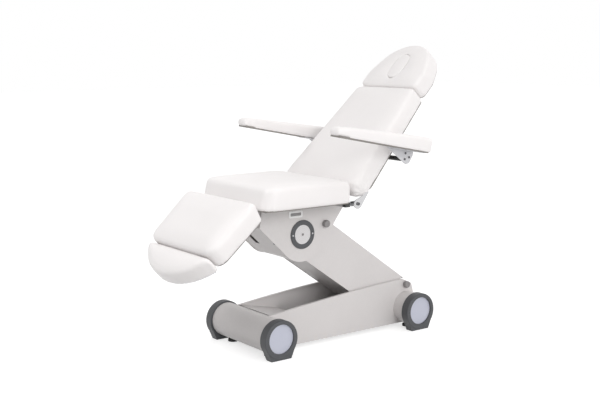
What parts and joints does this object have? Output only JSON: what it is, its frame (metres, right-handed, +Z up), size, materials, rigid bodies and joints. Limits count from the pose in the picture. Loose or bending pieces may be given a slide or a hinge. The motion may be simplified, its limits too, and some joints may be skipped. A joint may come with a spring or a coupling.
{
  "type": "podiatry chair",
  "caption": "Reclining podiatry chair with a motorised sloping lift arm on a low steel base, padded seat, back, head rest, leg rest, foot pad and hinged armrests.",
  "frame": {"origin": "on the floor, under the middle of the whole chair's bounding box as drawn", "axes": "+Z up, +Y from the foot end to the head end, +X to the left of a person seated in the chair, which is the nearer side in the picture"},
  "size_m": [0.887, 1.7192, 1.5427],
  "materials": {
    "powder_coat": "light warm grey powder coat, fine texture",
    "dark_plastic": "moulded, dark grey, satin",
    "pale_disc": "smooth, pale grey with a cool tint",
    "grey_cap": "moulded cap, mid grey",
    "upholstery": "warm white artificial leather, soft sheen",
    "bright_steel": "zinc-plated, brushed",
    "black_plastic": "black, satin",
    "motor_grey": "moulded motor housing, dark grey",
    "plywood": "birch plywood, sealed",
    "rubber": "moulded rubber",
    "badge_white": "white moulded frame, left bare inside"
  },
  "bodies": {
    "base": {"base_panel_left": "powder_coat", "base_panel_right": "powder_coat", "base_floor": "powder_coat", "front_ramp": "powder_coat", "rear_cover": "powder_coat", "cross_drums": "powder_coat", "foot_front_left": "dark_plastic", "foot_front_right": "dark_plastic", "foot_rear_left": "dark_plastic", "foot_rear_right": "dark_plastic", "foot_discs": "pale_disc", "support_pads": "rubber", "lower_shafts": "bright_steel", "lower_knobs": "grey_cap", "control_box": "black_plastic", "mains_inlet": "black_plastic", "lift_motor": "motor_grey"},
    "lift_arm": {"arm_side_left": "powder_coat", "arm_side_right": "powder_coat", "arm_top_plate": "powder_coat", "arm_belly_plate": "powder_coat", "arm_crank": "bright_steel", "arm_head_hub": "bright_steel"},
    "levelling_link": {"levelling_link": "bright_steel"},
    "lift_rod": {"lift_rod": "bright_steel"},
    "carrier": {"carrier_plate_left": "powder_coat", "carrier_plate_right": "powder_coat", "carrier_front_cover": "powder_coat", "upper_shafts": "bright_steel", "upper_knobs": "grey_cap", "ring_covers": "dark_plastic", "ring_discs": "pale_disc", "badge_frame": "badge_white", "seat_frame": "bright_steel", "seat_tube_caps": "black_plastic", "seat_board": "plywood", "seat_cushion": "upholstery", "back_motor": "motor_grey", "leg_motor": "motor_grey"},
    "back": {"back_frame": "bright_steel", "back_board": "plywood", "back_cushion": "upholstery", "armrest_crossbar": "black_plastic"},
    "back_rod": {"back_rod": "bright_steel"},
    "head_rest": {"head_rods": "bright_steel", "head_board": "plywood", "head_cushion": "upholstery"},
    "face_plug": {"face_plug": "upholstery"},
    "leg_rest": {"leg_frame": "bright_steel", "leg_board": "plywood", "leg_cushion": "upholstery"},
    "leg_rod": {"leg_rod": "bright_steel"},
    "foot_pad": {"foot_pad_frame": "bright_steel", "foot_pad_cushion": "upholstery"},
    "armrest_left": {"armrest_left_pad": "upholstery", "armrest_left_board": "black_plastic", "armrest_left_bracket": "bright_steel"},
    "armrest_right": {"armrest_right_pad": "upholstery", "armrest_right_board": "black_plastic", "armrest_right_bracket": "bright_steel"}
  },
  "joints": [
    {"name": "lift", "type": "hinge", "parent": "base", "child": "lift_arm", "pos_m": [0, 0.4555, 0.1925], "axis": [-1, 0, 0], "range_deg": [-21.9, 1.5]},
    {"name": "link_swing", "type": "hinge", "parent": "base", "child": "levelling_link", "pos_m": [0, 0.6015, 0.2345], "axis": [-1, 0, 0], "range_deg": [-21.9, 1.5]},
    {"name": "lift_rod_slide", "type": "slide", "parent": "base", "child": "lift_rod", "axis": [0, -1, 0], "range_m": [-0.04752, 0.00335]},
    {"name": "carrier_level", "type": "hinge", "parent": "lift_arm", "child": "carrier", "pos_m": [0, -0.11861, 0.593], "axis": [1, 0, 0], "range_deg": [-21.9, 1.5]},
    {"name": "back_tilt", "type": "hinge", "parent": "carrier", "child": "back", "pos_m": [0, 0.14939, 0.74], "axis": [1, 0, 0], "range_deg": [-45.5, 12]},
    {"name": "back_rod_slide", "type": "slide", "parent": "carrier", "child": "back_rod", "axis": [0, 1, 0], "range_m": [-0.0473, 0.01255]},
    {"name": "leg_tilt", "type": "hinge", "parent": "carrier", "child": "leg_rest", "pos_m": [0, -0.42161, 0.738], "axis": [-1, 0, 0], "range_deg": [-27.7, 42.3]},
    {"name": "leg_rod_slide", "type": "slide", "parent": "carrier", "child": "leg_rod", "axis": [0, -1, 0], "range_m": [-0.02824, 0.04308]},
    {"name": "head_slide", "type": "slide", "parent": "back", "child": "head_rest", "axis": [0, 0.7009, 0.7133], "range_m": [0, 0.12]},
    {"name": "face_plug_slide", "type": "slide", "parent": "head_rest", "child": "face_plug", "axis": [0, -0.7133, 0.7009], "range_m": [0, 0.11]},
    {"name": "foot_slide", "type": "slide", "parent": "leg_rest", "child": "foot_pad", "axis": [0, -0.7396, -0.673], "range_m": [0, 0.12]},
    {"name": "armrest_left_turn", "type": "hinge", "parent": "back", "child": "armrest_left", "pos_m": [0, 0.41267, 0.95797], "axis": [1, 0, 0], "range_deg": [-115, 45]},
    {"name": "armrest_right_turn", "type": "hinge", "parent": "back", "child": "armrest_right", "pos_m": [0, 0.41267, 0.95797], "axis": [1, 0, 0], "range_deg": [-115, 45]}
  ],
  "couplings": [
    {"joint": "link_swing", "follows": "lift", "ratio": 1},
    {"joint": "lift_rod_slide", "follows": "lift", "m_per_rad": 0.12406},
    {"joint": "carrier_level", "follows": "lift", "ratio": 1},
    {"joint": "back_rod_slide", "follows": "back_tilt", "m_per_rad": 0.059431},
    {"joint": "leg_rod_slide", "follows": "leg_tilt", "m_per_rad": 0.058215}
  ]
}
